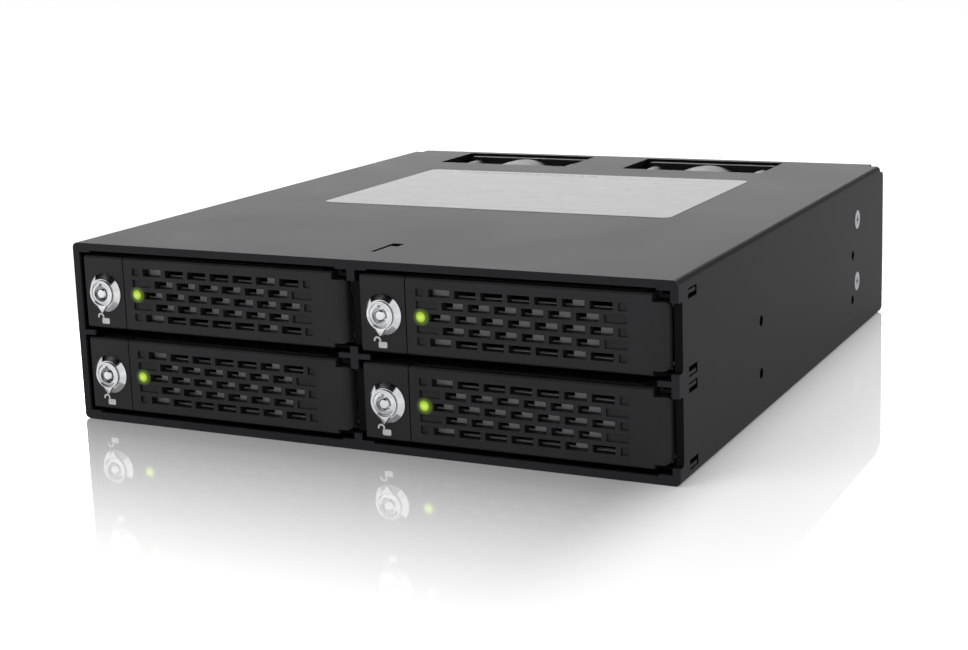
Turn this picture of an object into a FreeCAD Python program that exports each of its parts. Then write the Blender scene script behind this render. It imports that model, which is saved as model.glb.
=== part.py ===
import FreeCAD, Part
import math
import os

# Hot-swap drive cage for four 2.5-inch drives, sized for one half-height 5.25-inch bay.
# X runs across the front, Y runs from the front face (negative) to the rear, Z runs up.
# The origin is the middle of the underside. Every length is in millimetres.

os.makedirs("parts", exist_ok=True)
V = FreeCAD.Vector

# ---- cage shell ----
cage_width = 146.0
cage_height = 41.3
cage_depth = 164.0
shell_wall = 1.7
shell_corner = 1.2
centre_wall_thick = 1.8
pad_rise = 0.4                 # low pads on the floor and roof beside each wall
ledge_width = 2.9
ledge_thick = 1.1
rear_relief_x = 3.3            # bend relief at the two rear top corners
rear_relief_y = 3.4
rear_corner = 1.6
slit_front = 9.6               # keyhole in the roof for the centre wall's hook
slit_width = 1.0
slit_length = 6.9
slit_eye_width = 2.8
slit_eye_length = 3.0

# ---- side fixing holes of the 5.25-inch bay ----
fix_front = 52.3
fix_spacing = 79.25
fix_low = 9.93
fix_rise = 11.91
fix_floor_spacing = 139.7
thread_radius = 1.25

# ---- wall fronts beside the doors ----
setback_depth = 2.1
setback_low = 0.7
setback_top = 1.6              # below the top of the tray's front
lug_width = 2.8
lug_leg = 0.8
lug_overlap = 0.9              # how far a lug hangs beside the top of the tray's front
lug_inset = 1.2
lug_depth = 2.0
tongue_front = 5.3
tongue_length = 5.0
tongue_height = 2.1
tongue_slit = 0.35
tongue_wide_slit = 1.05
tongue_rise = 0.2              # of the upper tongue's foot below the top of the set-back
tongue_end_slit = 0.9

# ---- tray ----
front_gap = 2.5                # between the fronts of an upper and a lower tray
front_left_gap = 1.3
front_right_gap = 0.5
plate_thick = 0.7
plate_gap = 0.1
plate_side_gap = 0.3
plate_start = 3.4
edge_bevel = 0.35
block_width = 10.6
block_depth = 9.0
block_wall = 1.0
block_front_wall = 3.0
block_roof = 0.8
seam = 0.25
vent_gap = 0.8
vent_thick = 0.9
vent_end_inset = 5.4           # from the right edge of the tray's front
drive_length = 100.3
drive_gap = 1.2
drive_hole_inset = 4.34        # from the side of the bay to the drive's holes
drive_holes_front = 9.7
drive_holes_y = 76.6
drive_hole_radius = 1.7
plate_setback = 2.0            # from the rear edge of the plate to the drive's connector
plate_front_corner = 1.5
plate_rear_corner = 3.0
tray_window_columns = 3
tray_window_rows = 2
tray_window_width = 10.0
tray_window_pitch = 17.0
tray_window_margin = 13.0
tray_window_web = 9.0
tray_window_round = 2.5

# ---- door, hinge and grille ----
door_thick = 2.0
knuckle_radius = 2.2
knuckle_height = 3.5
notch_width = 3.3
notch_low = 1.1
notch_high = 1.6
door_round = 1.2
pin_radius = 0.5
pin_clearance = 0.05
ear_radius = 1.2
ear_clearance = 0.15
ear_neck_gap = 0.2             # from the pin's axis to the neck that carries the ear
skin_wrap = 14.0               # degrees by which the door's skin wraps round past the pin
hook_reach = 3.9
hook_thick = 1.2
hook_wall_gap = 0.35
slot_web = 1.1                 # between the slots of one row
slot_height = 1.65
row_margin = 2.225             # above the top row and below the bottom row
slot_count = 7
field_left_margin = 2.35       # from the left edge of the door
field_right_margin = 8.5       # from the right edge of the tray's front
recess_depth = 0.45
window_width = 2.55
window_shift = 1.4
window_web = 0.8
lens_radius = 1.15
lens_inset = 0.9               # from the left end of the grille
guide_radius = 0.8
guide_collar = 0.25

# ---- screws from the tray's plate up into its front ----
foot_radius = 1.0
foot_head_radius = 1.9
foot_head_height = 0.6
foot_length = 3.2
foot_edge = 1.3
foot_boss = 1.9

# ---- lock ----
lock_offset = 5.3
bezel_radius = 4.4
bezel_face_radius = 3.3
bezel_height = 1.1
barrel_radius = 3.4
barrel_length = 5.0
plug_radius = 2.3
plug_clearance = 0.05
head_radius = 3.1
head_thick = 0.4
pointer_reach = 4.6
pointer_side = 1.35
pointer_root = 2.7
keyway_outer = 1.85
keyway_inner = 1.15
keyway_depth = 1.7
keyway_notch = 0.8
keyway_tab = 0.2               # how far the notch passes the keyway's ring
stem_radius = 1.2
cam_gap = 0.2
cam_thick = 1.0
cam_width = 3.0
cam_top_gap = 0.45
keeper_thick = 1.4
keeper_gap = 0.55
keeper_bar = 1.4
keeper_lip = 1.2
keeper_rise = 2.95             # above the lock's axis
keeper_tip_drop = 0.6
keeper_room = 0.8
cam_room = 0.4
cam_head_radius = 2.0
cam_head_height = 1.1
cam_head_bevel = 0.4

# ---- backplane and its connectors ----
board_thick = 1.6
board_gap = 0.5
board_edge_gap = 0.4
air_slot_count = 2
air_slot_width = 21.0
air_slot_margin = 4.0          # from the slot to the sill of the next bay
air_slot_pitch = 25.0
air_slot_rise = 1.0            # above the socket
air_slot_round = 1.0
board_head_radius = 2.4
board_head_height = 1.5
board_screw_bite = 2.5
board_screw_edge = 5.6
board_hole_clearance = 0.15
socket_width = 42.6
socket_height = 5.8
socket_depth = 8.4
socket_inset = 7.9             # from the left side of the bay
socket_rise = 3.6
socket_wall = 3.0
socket_slot_height = 2.2
socket_slot_depth = 5.6
socket_power_slot = 21.5
socket_data_slot = 12.5
socket_key = 2.5               # between the power slot and the data slot
ear_board = 7.5
port_depth = 8.6
data_width = 15.4
data_height = 5.0
data_pitch = 8.2
power_width = 22.6
power_height = 5.4
power_inset = 13.3             # from the inner side of the shell
power_ear_gap = 0.65           # from the bracket's ear
port_wall = 0.8
port_base = 1.5
blade_inset = 2.2
blade_setback = 1.0
blade_low = 0.2
blade_high = 0.9

# ---- fans and rear bracket ----
fan_inset = 0.65               # from the underside and from the roof
fan_depth = 20.0
fan_gap = 0.3
fan_side_gap = 18.7            # from the left side of the cage
fan_between = 17.5
fan_flange = 2.8
fan_corner = 2.0
fan_duct_wall = 1.1
fan_barrel_inset = 0.2
fan_hole_edge = 4.0
fan_hole_radius = 1.75
fan_post_radius = 3.2
fan_hub_radius = 8.2
fan_tip_gap = 0.5
fan_blades = 7
fan_hub_length = 13.0
fan_hub_corner = 0.6
fan_hub_web = 1.2
fan_skin = 0.4                 # front face of the frame to its struts
fan_run_gap = 0.4
fan_motor_radius = 8.6
fan_motor_depth = 2.2
fan_boss_wall = 1.2
fan_boss_length = 6.0
fan_strut = 1.8
fan_strut_depth = 1.4
fan_shaft_start = 1.6
blade_pitch = 46.0
blade_chord = 11.5
blade_camber = 1.2
blade_thick = 0.7
blade_root = 0.4               # how far a blade runs into the hub
fan_head_radius = 2.6
fan_head_height = 1.4
fan_screw_bite = 4.0
shaft_radius = 1.0
shaft_clearance = 0.05
bracket_inset = 2.0
bracket_thick = 1.0
bracket_gap = 0.1
csk_depth = 136.2
csk_low = 14.1
csk_rise = 16.5
csk_head_radius = 2.45
csk_head_height = 1.2
screw_radius = 1.45
screw_length = 4.0
window_margin = 1.2
window_edge = 2.0
window_round = 1.0
bracket_side_gap = 0.5
bracket_hole_step = 1.1        # smaller in radius than the fan's duct

# ---- places worked out from the sizes above ----
front_y = -cage_depth / 2
rear_y = cage_depth / 2
inner_x = cage_width / 2 - shell_wall
bay_width = inner_x - centre_wall_thick / 2
pad_top = shell_wall + pad_rise
front_sill = pad_top + plate_gap + plate_thick
front_height = (cage_height - 2 * front_sill - front_gap) / 2
tray_pitch = front_height + front_gap
setback_high = front_height - setback_top
lug_low = front_height - lug_overlap
ledge_top = pad_top + tray_pitch
front_width = bay_width - front_left_gap - front_right_gap
drive_holes_x = bay_width - 2 * drive_hole_inset
vent_end = front_width - vent_end_inset
door_left = block_width + seam
field_left = door_left + field_left_margin
field_width = front_width - field_right_margin - field_left
field_centre = field_left + field_width / 2
slot_pitch = (field_width + slot_web) / (slot_count + 1)
slot_width = slot_pitch - slot_web
row_pitch = (front_height - 2 * row_margin - slot_height) / 4
lens_offset = field_left + lens_inset
pin_x = front_width - knuckle_radius
pin_y = knuckle_radius
lock_z = front_height / 2
cam_reach = front_height - block_roof - cam_top_gap - lock_z
keeper_high = lock_z + keeper_rise
vent_y = door_thick + vent_gap
drive_front = block_depth + drive_gap
drive_rear = drive_front + drive_length
board_front = drive_rear + socket_depth
board_rear = board_front + board_thick
rail_length = board_front - board_gap
plate_end = drive_rear - board_gap - plate_setback
bracket_rear = cage_depth - bracket_inset
fan_rear = bracket_rear - bracket_thick
fan_size = cage_height - 2 * fan_inset
fan_duct_radius = fan_size / 2 - fan_duct_wall
fan_barrel_radius = fan_size / 2 - fan_barrel_inset
fan_hole_pitch = fan_size - 2 * fan_hole_edge
bracket_hole_radius = fan_duct_radius - bracket_hole_step
fan_left_x = fan_side_gap + fan_size / 2 - inner_x
fan_right_x = fan_left_x + fan_size + fan_between
data_x = (fan_left_x + fan_right_x) / 2
power_x = inner_x - power_inset
ear_top = shell_wall + bracket_gap + bracket_side_gap + ear_board
power_pitch = cage_height - 2 * (ear_top + power_ear_gap) - power_height
air_slot_height = tray_pitch - socket_rise - socket_height - air_slot_rise - air_slot_margin
fan_front = fan_rear - fan_depth
bay_lefts = [-inner_x, centre_wall_thick / 2]
bay_floors = [0.0, tray_pitch]
fan_xs = [fan_left_x, fan_right_x]


def block(x0, x1, y0, y1, z0, z1):
    return Part.makeBox(x1 - x0, y1 - y0, z1 - z0, V(x0, y0, z0))


def rod(radius, base, direction, length):
    return Part.makeCylinder(radius, length, V(*base), V(*direction))


def rounded_face(corners, to_space):
    """Face of a polygon whose corners are (a, b) or (a, b, radius)."""
    count = len(corners)
    edges = []
    joins = []
    for index in range(count):
        before = V(corners[index - 1][0], corners[index - 1][1], 0)
        here = V(corners[index][0], corners[index][1], 0)
        after = V(corners[(index + 1) % count][0], corners[(index + 1) % count][1], 0)
        radius = corners[index][2] if len(corners[index]) > 2 else 0
        back = (before - here).normalize()
        on = (after - here).normalize()
        if radius <= 0:
            joins.append((here, None, here))
            continue
        half = back.getAngle(on) / 2
        reach = radius / math.tan(half)
        middle = (back + on).normalize() * (radius / math.sin(half) - radius)
        joins.append((here + back * reach, here + middle, here + on * reach))
    for index in range(count):
        start, middle, end = joins[index]
        if middle is not None:
            edges.append(Part.Arc(to_space(start), to_space(middle), to_space(end)).toShape())
        following = joins[(index + 1) % count][0]
        if (following - end).Length > 1e-6:
            edges.append(Part.makeLine(to_space(end), to_space(following)))
    return Part.Face(Part.Wire(edges))


def prism_x(corners, x0, x1):
    return rounded_face(corners, lambda p: V(x0, p.x, p.y)).extrude(V(x1 - x0, 0, 0))


def prism_y(corners, y0, y1):
    return rounded_face(corners, lambda p: V(p.x, y0, p.y)).extrude(V(0, y1 - y0, 0))


def prism_z(corners, z0, z1):
    return rounded_face(corners, lambda p: V(p.x, p.y, z0)).extrude(V(0, 0, z1 - z0))


def rectangle(a0, a1, b0, b1, radius=0.0):
    return [(a0, b0, radius), (a1, b0, radius), (a1, b1, radius), (a0, b1, radius)]


def spun(profile, axis_x, axis_z):
    """Solid turned about a line along Y, from (radius, y) corners."""
    points = [V(axis_x + radius, y, axis_z) for radius, y in profile]
    face = Part.Face(Part.makePolygon(points + points[:1]))
    return face.revolve(V(axis_x, 0, axis_z), V(0, 1, 0), 360)


def screw(head_radius, head_height, length, countersunk):
    """Screw along +Y with the outer face of its head at y = 0."""
    seat = screw_radius if countersunk else head_radius
    profile = [(0, 0), (head_radius, 0), (seat, head_height)]
    if not countersunk:
        profile.append((screw_radius, head_height))
    profile += [(screw_radius, length), (0, length)]
    return spun(profile, 0, 0)


def export(shape, node):
    shape.exportStep("parts/" + node + ".step")


# ---- cage ----
def tongue_slits(face_x, thick, bay_floor, upper):
    """U-shaped slit round a sprung tongue at the top or bottom corner of a bay."""
    sill = front_sill + bay_floor
    low = sill + setback_high - tongue_rise if upper else sill - tongue_height / 2
    high = low + tongue_height
    y0 = front_y + tongue_front
    y1 = y0 + tongue_length
    low_slit = tongue_wide_slit if upper else tongue_slit
    high_slit = tongue_slit if upper else tongue_wide_slit
    parts = [
        block(face_x, face_x + thick, y0, y1, low, low + low_slit),
        block(face_x, face_x + thick, y0, y1, high - high_slit, high),
        block(face_x, face_x + thick, y1 - tongue_end_slit, y1, low, high),
    ]
    return parts


def setbacks(x0, x1):
    cuts = []
    for floor in bay_floors:
        low = front_sill + floor + setback_low
        high = front_sill + floor + setback_high
        corners = [(front_y - 1, low), (front_y + setback_depth, low, 0.8),
                   (front_y + setback_depth, high, 0.8), (front_y - 1, high)]
        cuts.append(prism_x(corners, x0, x1))
    return cuts


def lug(wall_x, bay_floor, roof_z):
    """L-shaped guide lug at the upper right corner of a bay, fixed to the wall at wall_x."""
    low = front_sill + bay_floor + lug_low
    left = wall_x - lug_width
    corners = [(left, low, 0.3), (wall_x, low), (wall_x, low + lug_leg),
               (left + lug_leg, low + lug_leg), (left + lug_leg, roof_z), (left, roof_z)]
    return prism_y(corners, front_y + lug_inset, front_y + lug_inset + lug_depth)


def housing_shell():
    half = cage_width / 2
    outer = prism_y(rectangle(-half, half, 0, cage_height, shell_corner), front_y, rear_y)
    hollow = block(-inner_x, inner_x, front_y - 1, rear_y + 1, shell_wall, cage_height - shell_wall)
    shell = outer.cut(hollow)
    added = []
    for left, right in ((-inner_x, -inner_x + ledge_width), (inner_x - ledge_width, inner_x)):
        for low, high in ((shell_wall, pad_top), (ledge_top - ledge_thick, ledge_top),
                          (cage_height - pad_top, cage_height - shell_wall)):
            added.append(block(left, right, front_y, front_y + rail_length, low, high))
    beside = centre_wall_thick / 2 + ledge_width
    for low, high in ((shell_wall, pad_top), (cage_height - pad_top, cage_height - shell_wall)):
        added.append(block(-beside, beside, front_y, front_y + rail_length, low, high))
    added.append(lug(inner_x, bay_floors[0], ledge_top - ledge_thick))
    added.append(lug(inner_x, bay_floors[1], cage_height - shell_wall))
    shell = shell.fuse(added)
    cuts = setbacks(inner_x - 0.01, half + 1)
    for floor in bay_floors:
        for upper in (False, True):
            cuts += tongue_slits(inner_x - 0.01, shell_wall + 1, floor, upper)
    # fan openings through roof and floor
    for x in fan_xs:
        reach = fan_size / 2 + fan_gap
        y0 = front_y + fan_front - fan_gap
        y1 = front_y + fan_rear + fan_gap
        cuts.append(prism_z(rectangle(x - reach, x + reach, y0, y1, 0.6), -1, cage_height + 1))
    # keyhole for the hook of the centre wall
    eye = front_y + slit_front + slit_length
    cuts.append(block(-slit_width / 2, slit_width / 2, front_y + slit_front, eye,
                      cage_height - pad_top - 0.01, cage_height + 1))
    cuts.append(block(-slit_width / 2, slit_eye_width - slit_width / 2, eye, eye + slit_eye_length,
                      cage_height - pad_top - 0.01, cage_height + 1))
    # fixing holes and countersinks in both sides, fixing holes in the floor
    for side in (-1, 1):
        for y in (fix_front, fix_front + fix_spacing):
            for z in (fix_low, fix_low + fix_rise):
                place = (side * inner_x, front_y + y, z)
                cuts.append(rod(thread_radius, place, (side, 0, 0), shell_wall + 1))
            place = (side * fix_floor_spacing / 2, front_y + y, -1)
            cuts.append(rod(thread_radius, place, (0, 0, 1), pad_top + 1.01))
        for z in (csk_low, csk_low + csk_rise):
            place = (side * half, front_y + csk_depth, z)
            cuts.append(Part.makeCone(csk_head_radius, screw_radius, csk_head_height, V(*place),
                                      V(-side, 0, 0)))
            cuts.append(rod(screw_radius, place, (-side, 0, 0), shell_wall + 0.01))
    # bend relief and rounded rear corners of the side walls
    for side in (-1, 1):
        x0, x1 = sorted((side * (half - rear_relief_x), side * (half + 1)))
        top = cage_height - shell_wall
        cuts.append(block(x0, x1, rear_y - rear_relief_y, rear_y + 1, top, cage_height + 1))
        wall0, wall1 = sorted((side * inner_x, side * (half + 1)))
        for level, sign in ((top, -1), (0.0, 1)):
            corner = block(wall0, wall1, rear_y - rear_corner, rear_y + 1,
                           *sorted((level - sign, level + sign * rear_corner)))
            keep = rod(rear_corner, (wall0, rear_y - rear_corner, level + sign * rear_corner),
                       (1, 0, 0), wall1 - wall0)
            cuts.append(corner.cut(keep))
    return shell.cut(cuts)


def centre_wall():
    half = centre_wall_thick / 2
    low = pad_top
    high = cage_height - pad_top
    y1 = front_y + rail_length
    wall = block(-half, half, front_y, y1, low, high)
    arms = block(-half - ledge_width, half + ledge_width, front_y, y1, ledge_top - ledge_thick, ledge_top)
    hook = block(-slit_width / 2 + 0.1, slit_width / 2 - 0.1, front_y + slit_front + 1.0,
                 front_y + slit_front + slit_length - 0.2, high, cage_height - 0.6)
    wall = wall.fuse([arms, hook, lug(-half, bay_floors[0], ledge_top - ledge_thick),
                      lug(-half, bay_floors[1], high)])
    cuts = setbacks(-half - 0.01, half + 0.01)
    for floor in bay_floors:
        for upper in (False, True):
            cuts += tongue_slits(-half - 0.01, centre_wall_thick + 0.02, floor, upper)
    return wall.cut(cuts)


# ---- tray, in its own frame: x from the left edge of its front, y from the front face, z from its sill ----
def tray_plate():
    left = -front_left_gap + plate_side_gap
    right = left + bay_width - 2 * plate_side_gap
    middle = (left + right) / 2
    outline = [(left, plate_start, plate_front_corner), (right, plate_start, plate_front_corner),
               (right, plate_end, plate_rear_corner), (left, plate_end, plate_rear_corner)]
    plate = prism_z(outline, -plate_thick, 0)
    cuts = []
    for side in (-1, 1):
        for step in (0, drive_holes_y):
            x = middle + side * drive_holes_x / 2
            y = drive_front + drive_holes_front + step
            cuts.append(rod(drive_hole_radius, (x, y, -plate_thick - 1), (0, 0, 1), plate_thick + 2))
    first_y = drive_front + tray_window_margin
    row_step = (plate_end - tray_window_margin + tray_window_web - first_y) / tray_window_rows
    for column in range(tray_window_columns):
        x = middle + (column - (tray_window_columns - 1) / 2) * tray_window_pitch
        for row in range(tray_window_rows):
            y = first_y + row * row_step
            window = rectangle(x - tray_window_width / 2, x + tray_window_width / 2,
                               y, y + row_step - tray_window_web, tray_window_round)
            cuts.append(prism_z(window, -plate_thick - 1, 1))
    for x, y in foot_places():
        cuts.append(foot_cone(x, y))
        cuts.append(rod(foot_radius, (x, y, -plate_thick - 1), (0, 0, 1), plate_thick + 2))
    return plate.cut(cuts)


def slot_columns(row):
    """Slot centres of one row; even rows hold one slot more than odd ones."""
    count = slot_count if row % 2 == 0 else slot_count - 1
    first = field_centre - (count - 1) * slot_pitch / 2
    return [first + index * slot_pitch for index in range(count)]


def row_height(row):
    return lock_z + (2 - row) * row_pitch


def tray_front():
    body = block(0, block_width, 0, block_depth, 0, front_height)
    plate = block(block_width - 0.5, vent_end, vent_y, vent_y + vent_thick, 0, front_height)
    sill = block(block_width - 0.5, vent_end, vent_y, block_depth, 0, block_wall)
    header = block(block_width - 0.5, vent_end, vent_y, block_depth,
                   front_height - block_wall, front_height)
    post_y = pin_y + knuckle_radius + 0.3
    post = block(vent_end - 0.6, front_width, post_y, block_depth, 0, front_height)
    web = block(vent_end - 0.6, vent_end, vent_y, block_depth, 0, front_height)
    ear_low = notch_low + knuckle_height + ear_clearance
    ear_high = front_height - notch_high - knuckle_height - ear_clearance
    ear = rod(ear_radius, (pin_x, pin_y, ear_low), (0, 0, 1), ear_high - ear_low)
    neck = block(pin_x - ear_radius, pin_x - ear_neck_gap, pin_y, post_y + 0.5, ear_low, ear_high)
    body = body.fuse([plate, sill, header, post, web, ear, neck])
    # hollow for the lock's cam, its window, and the bore for the lock barrel
    hollow = block(block_wall, block_width - block_wall, block_front_wall, block_depth + 1,
                   block_wall, front_height - block_roof)
    boss_x, boss_y = foot_places()[0]
    boss = block(boss_x - foot_boss, boss_x + foot_boss, boss_y - foot_edge, block_depth,
                 0, foot_length - plate_thick + 0.4)
    cuts = [hollow.cut(boss)]
    for x, y in foot_places():
        cuts.append(rod(foot_radius, (x, y, -1), (0, 0, 1), foot_length - plate_thick + 1))
    cam_y = barrel_length + cam_gap
    cuts.append(block(block_width - block_wall - 0.01, door_left + keeper_thick + keeper_room,
                      cam_y - cam_room, cam_y + cam_thick + cam_room,
                      lock_z - cam_width / 2 - cam_room, front_height - block_wall - cam_room))
    cuts.append(rod(barrel_radius, (lock_offset, -1, lock_z), (0, 1, 0), block_front_wall + 2))
    # room for the keeper of the door behind the seam
    cuts.append(block(block_width, door_left + keeper_thick + keeper_room, vent_y - 1, block_depth + 1,
                      lock_z - cam_width / 2 - keeper_gap - keeper_bar - cam_room, keeper_high + cam_room))
    # windows of the vent plate, set off from the slots of the door
    y0 = vent_y - 0.5
    y1 = vent_y + vent_thick + 0.5
    for row in range(5):
        z0 = row_height(row) - slot_height / 2
        z1 = row_height(row) + slot_height / 2
        columns = slot_columns(row)
        if row in (0, 4):
            for index in (1, 2, 3, 4, 6):
                x0 = columns[index] - slot_width / 2 - window_shift
                cuts.append(block(x0, x0 + slot_pitch - window_web, y0, y1, z0, z1))
            x0 = columns[5] - slot_width / 2 - window_shift
            cuts.append(block(x0, x0 + window_width, y0, y1, z0, z1))
        else:
            for x in columns:
                x0 = x - slot_width / 2 - window_shift
                cuts.append(block(x0, x0 + window_width, y0, y1, z0, z1))
    cuts.append(rod(guide_radius, (lens_offset, y0, lock_z), (0, 1, 0), 3))
    # corner notches that pass the lugs of the cage, and room for the swing of the hooks
    corner_x = front_width - notch_width
    cuts.append(block(corner_x, front_width + 1, -1, block_depth + 1, front_height - notch_high + 0.35,
                      front_height + 1))
    cuts.append(block(corner_x, front_width + 1, -1, block_depth + 1, -1, notch_low))
    swing = math.hypot(hook_reach, knuckle_radius) + 0.3
    for low, high in ((-1, notch_low + hook_thick + 0.3),
                      (front_height - notch_high - hook_thick - 0.3, front_height + 1)):
        cuts.append(rod(swing, (pin_x, pin_y, low), (0, 0, 1), high - low))
    # bore for the hinge pin
    cuts.append(rod(pin_radius, (pin_x, pin_y, -1), (0, 0, 1), front_height + 2))
    # soft front edges of the lock block
    cuts += edge_bevels(0, block_width)
    return body.cut(cuts)


def edge_bevels(x0, x1):
    """Wedges that bevel the front edges at the top and bottom of a tray's face."""
    c = edge_bevel
    top = [(-1, front_height + 1), (-1, front_height - c - 1), (c + 1, front_height + 1)]
    bottom = [(-1, -1), (-1, c + 1), (c + 1, -1)]
    return [prism_x(top, x0 - 0.5, x1 + 0.5), prism_x(bottom, x0 - 0.5, x1 + 0.5)]


def door():
    plate = block(door_left, pin_x, 0, door_thick, 0, front_height)
    knuckle = rod(knuckle_radius, (pin_x, pin_y, 0), (0, 0, 1), front_height)
    corner_x = front_width - notch_width
    high = front_height - notch_high
    outline = [(door_left, 0), (corner_x, 0), (corner_x, notch_low), (front_width, notch_low, door_round),
               (front_width, high, door_round), (corner_x, high), (corner_x, front_height),
               (door_left, front_height)]
    body = plate.fuse(knuckle).common(prism_y(outline, -1, pin_y + knuckle_radius + 1))
    hooks = []
    hook_right = front_width + front_right_gap - hook_wall_gap
    tip_y = pin_y + hook_reach
    for low in (notch_low, high - hook_thick):
        corners = [(pin_x - 0.6, pin_y), (pin_x + knuckle_radius, pin_y), (hook_right, tip_y - 1.4),
                   (hook_right, tip_y, 0.3), (pin_x + 0.6, tip_y, 0.3), (pin_x - 0.6, tip_y - 1.6)]
        hooks.append(prism_z(corners, low, low + hook_thick))
    keeper_x = door_left + 0.3
    bar_top = lock_z - cam_width / 2 - keeper_gap
    cam_y = barrel_length + cam_gap
    lip_y = cam_y + cam_thick + keeper_gap
    root_y = door_thick - 0.01
    neck_y = cam_y - keeper_gap
    tip_top = keeper_high - keeper_tip_drop
    keeper = [(root_y, bar_top - keeper_bar), (lip_y + keeper_lip, bar_top - keeper_bar, 0.4),
              (lip_y + keeper_lip, tip_top, 0.4), (lip_y, tip_top), (lip_y, bar_top),
              (neck_y, bar_top), (neck_y, keeper_high), (root_y, keeper_high)]
    hooks.append(prism_x(keeper, keeper_x, keeper_x + keeper_thick))
    body = body.fuse(hooks)
    cuts = []
    # room for the ear of the tray between the two knuckles; the skin in front of it stays
    ear_low = notch_low + knuckle_height
    ear_high = front_height - notch_high - knuckle_height
    cuts.append(rod(ear_radius + ear_clearance, (pin_x, pin_y, ear_low), (0, 0, 1), ear_high - ear_low))
    far = knuckle_radius * 1.5
    room = [(pin_x, pin_y), (pin_x + far, pin_y + far * math.tan(math.radians(skin_wrap))),
            (pin_x + far, pin_y + far), (pin_x - far, pin_y + far), (pin_x - far, pin_y)]
    cuts.append(prism_z(room, ear_low, ear_high))
    cuts.append(rod(pin_radius + pin_clearance, (pin_x, pin_y, notch_low - 1), (0, 0, 1),
                    front_height - notch_high - notch_low + 0.2))
    # staggered grille: through slots, and blind ends where the field stops
    field_right = field_left + field_width
    for row in range(5):
        z0 = row_height(row) - slot_height / 2
        z1 = row_height(row) + slot_height / 2
        columns = slot_columns(row)
        for x in columns:
            cuts.append(block(x - slot_width / 2, x + slot_width / 2, -1, door_thick + 1, z0, z1))
        for x in (columns[0] - slot_pitch, columns[-1] + slot_pitch):
            x0 = max(x - slot_width / 2, field_left)
            x1 = min(x + slot_width / 2, field_right)
            if row == 2 and x < field_centre:
                continue
            cuts.append(block(x0, x1, -1, recess_depth, z0, z1))
    cuts.append(rod(lens_radius, (lens_offset, -1, lock_z), (0, 1, 0), door_thick + 2))
    cuts += edge_bevels(door_left, front_width)
    return body.cut(cuts)


def hinge_pin():
    low = notch_low + 0.2
    return rod(pin_radius, (pin_x, pin_y, low), (0, 0, 1), front_height - notch_high - 1.2 - low)


def lock_collar():
    bore = plug_radius + plug_clearance
    return spun([(bore, -bezel_height), (bezel_face_radius, -bezel_height), (bezel_radius, -0.25),
                 (bezel_radius, 0), (barrel_radius, 0), (barrel_radius, barrel_length),
                 (bore, barrel_length)], lock_offset, lock_z)


def lock_cylinder():
    head_y = -bezel_height - plug_clearance
    face_y = head_y - head_thick
    cam_y = barrel_length + cam_gap
    body = spun([(0, face_y), (head_radius, face_y), (head_radius, head_y), (plug_radius, head_y),
                 (plug_radius, cam_y), (stem_radius, cam_y), (stem_radius, cam_y + cam_thick),
                 (0, cam_y + cam_thick)], lock_offset, lock_z)
    pointer = [(lock_offset - pointer_side, lock_z - pointer_root),
               (lock_offset + pointer_side, lock_z - pointer_root),
               (lock_offset, lock_z - pointer_reach, 0.3)]
    body = body.fuse(prism_y(pointer, face_y, head_y))
    bottom = face_y + keyway_depth
    ring = spun([(keyway_inner, face_y - 1), (keyway_outer, face_y - 1), (keyway_outer, bottom),
                 (keyway_inner, bottom)], lock_offset, lock_z)
    notch = block(lock_offset - keyway_notch / 2, lock_offset + keyway_notch / 2, face_y - 1, bottom,
                  lock_z + keyway_inner + 0.1, lock_z + keyway_outer + keyway_tab)
    return body.cut([ring, notch])


def lock_cam():
    y0 = barrel_length + cam_gap
    half = cam_width / 2
    arm = rectangle(lock_offset - half, lock_offset + half, lock_z - half, lock_z + cam_reach, half - 0.01)
    boss = rod(half + 0.7, (lock_offset, y0, lock_z), (0, 1, 0), cam_thick)
    cam = prism_y(arm, y0, y0 + cam_thick).fuse(boss)
    return cam.cut(rod(stem_radius, (lock_offset, y0 - 1, lock_z), (0, 1, 0), cam_thick + 2))


def cam_screw():
    y = barrel_length + cam_gap + cam_thick
    top = y + cam_head_height
    shoulder = top - cam_head_bevel
    return spun([(0, y), (cam_head_radius, y), (cam_head_radius, shoulder),
                 (cam_head_radius - cam_head_bevel, top), (0, top)], lock_offset, lock_z)


def led_lens():
    dome = spun([(0, -0.3), (lens_radius * 0.5, -0.22), (lens_radius * 0.9, 0.05), (lens_radius, 0.3),
                 (lens_radius, door_thick), (0, door_thick)], lens_offset, lock_z)
    return dome


def light_guide():
    y0 = door_thick + 0.4
    stop = vent_y + vent_thick
    return spun([(0, y0), (guide_radius, y0), (guide_radius, stop),
                 (guide_radius + guide_collar, stop), (guide_radius + guide_collar, block_depth),
                 (0, block_depth)], lens_offset, lock_z)


def foot_places():
    y = block_depth - foot_edge
    return [(block_wall + foot_boss, y), (vent_end + foot_boss / 2, y)]


def foot_cone(x, y):
    return Part.makeCone(foot_head_radius, foot_radius, foot_head_height, V(x, y, -plate_thick), V(0, 0, 1))


def tray_screws():
    made = []
    for x, y in foot_places():
        shank = rod(foot_radius, (x, y, -plate_thick), (0, 0, 1), foot_length)
        made.append(foot_cone(x, y).fuse(shank))
    return Part.makeCompound(made)


# ---- electronics ----
def bay_middles():
    return [(left + bay_width / 2, floor) for floor in bay_floors for left in bay_lefts]


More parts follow.
